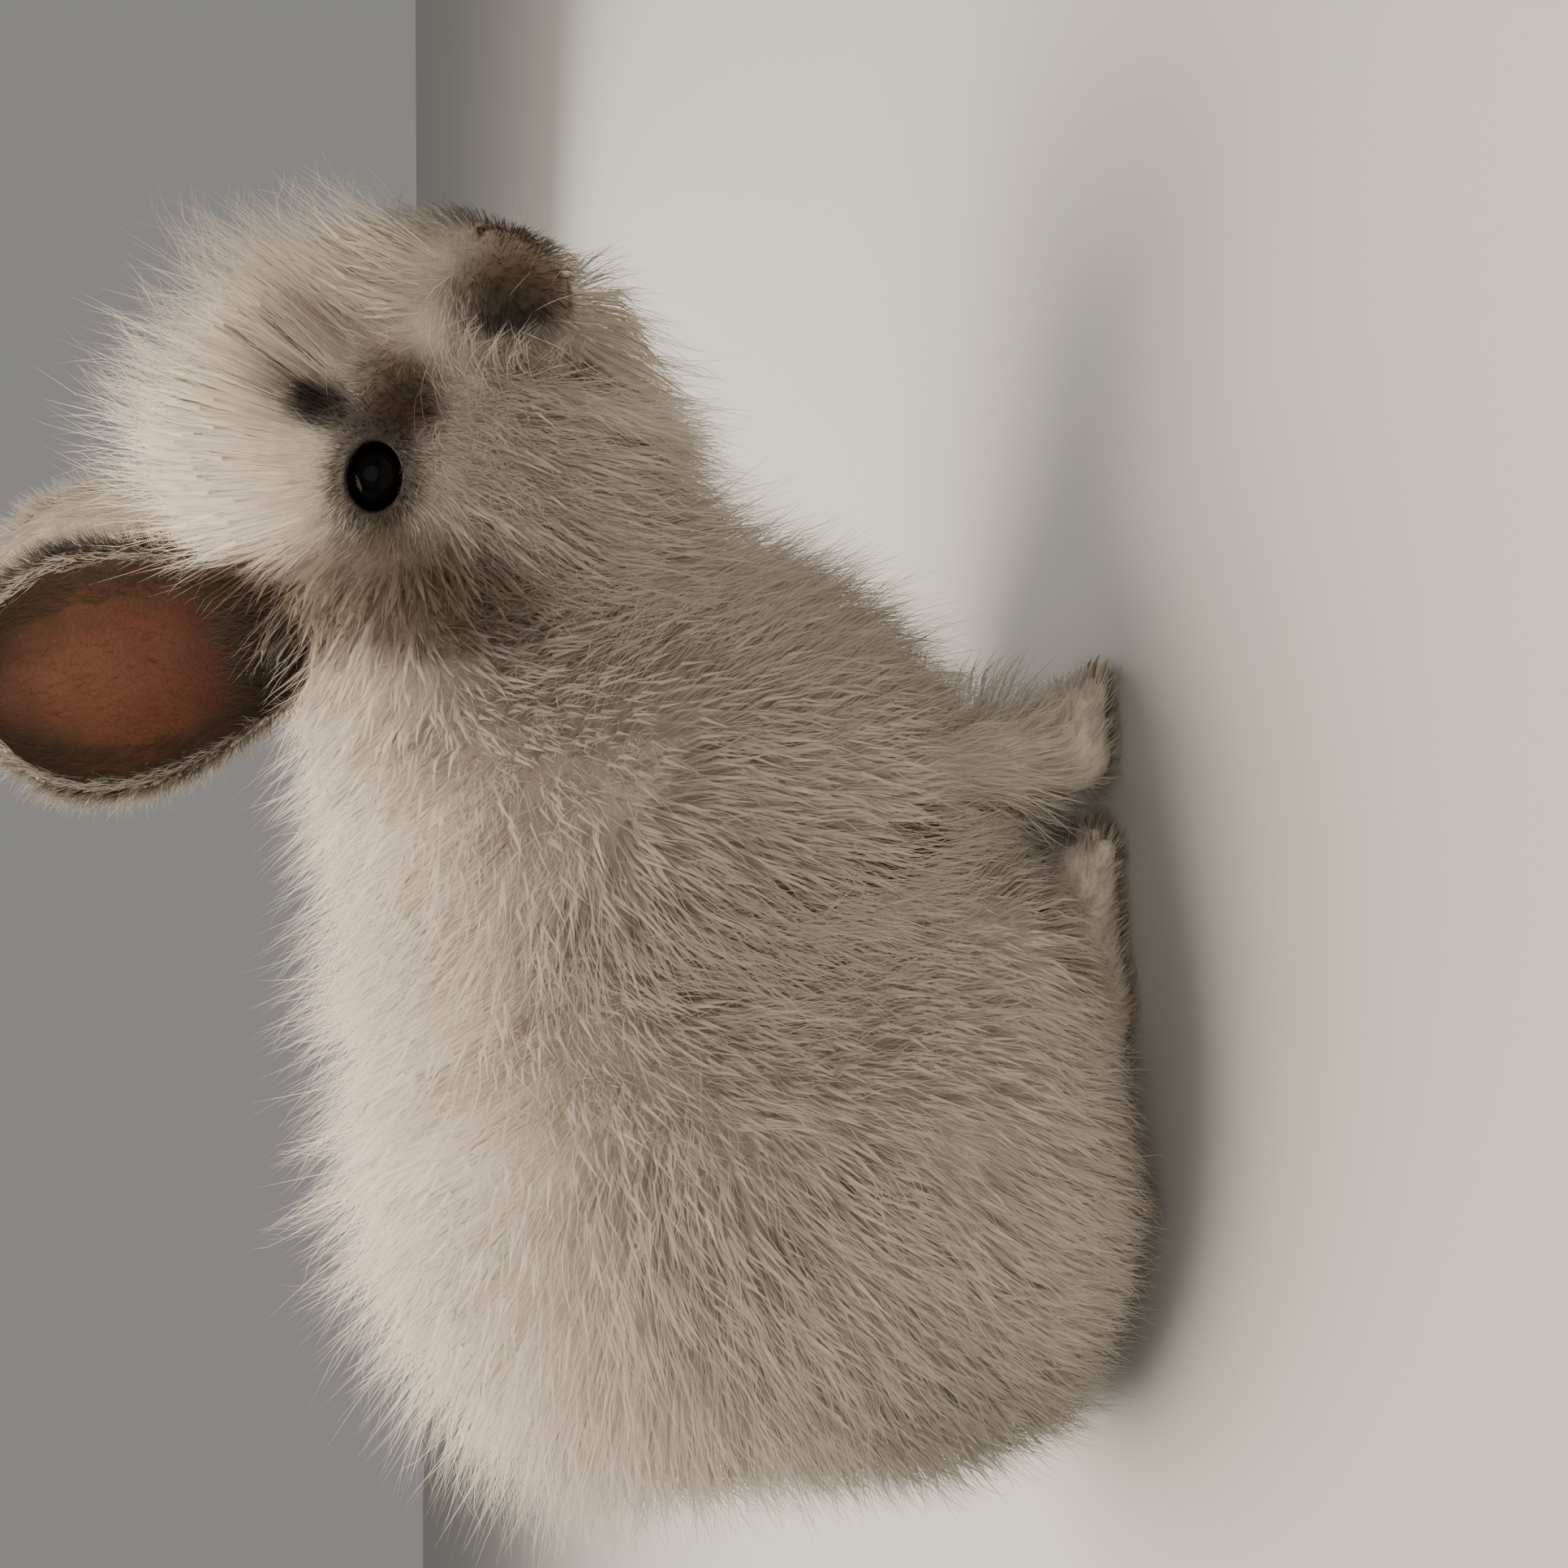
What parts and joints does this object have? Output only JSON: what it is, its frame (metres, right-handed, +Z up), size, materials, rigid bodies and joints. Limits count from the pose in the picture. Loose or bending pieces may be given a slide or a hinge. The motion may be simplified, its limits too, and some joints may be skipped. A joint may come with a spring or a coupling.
{
  "type": "angora rabbit",
  "caption": "Young white angora rabbit sitting with its head raised and turned to its right, a life-size still model that stands on its four feet.",
  "frame": {"origin": "on the floor, below the centre of the whole rabbit's box", "axes": "+X forward along the body, +Y to the rabbit's left, +Z up"},
  "size_m": [0.3332, 0.1932, 0.2872],
  "materials": {
    "coat": "long soft white fur, slightly warm",
    "face": "white fur with grey-brown points round the eyes and nose",
    "ears": "thin pinkish skin inside, short white fur outside",
    "eyes": "wet gloss, very dark brown",
    "paws": "short dense fur, stained yellow-brown under the hind feet"
  },
  "bodies": {
    "root": {"torso": "coat", "neck": "coat", "tail": "coat", "hind_leg_L": "coat", "hind_leg_R": "coat", "head": "face", "ear_L": "ears", "ear_R": "ears", "eye_L": "eyes", "eye_R": "eyes", "foreleg_L": "paws", "foreleg_R": "paws"}
  },
  "joints": []
}
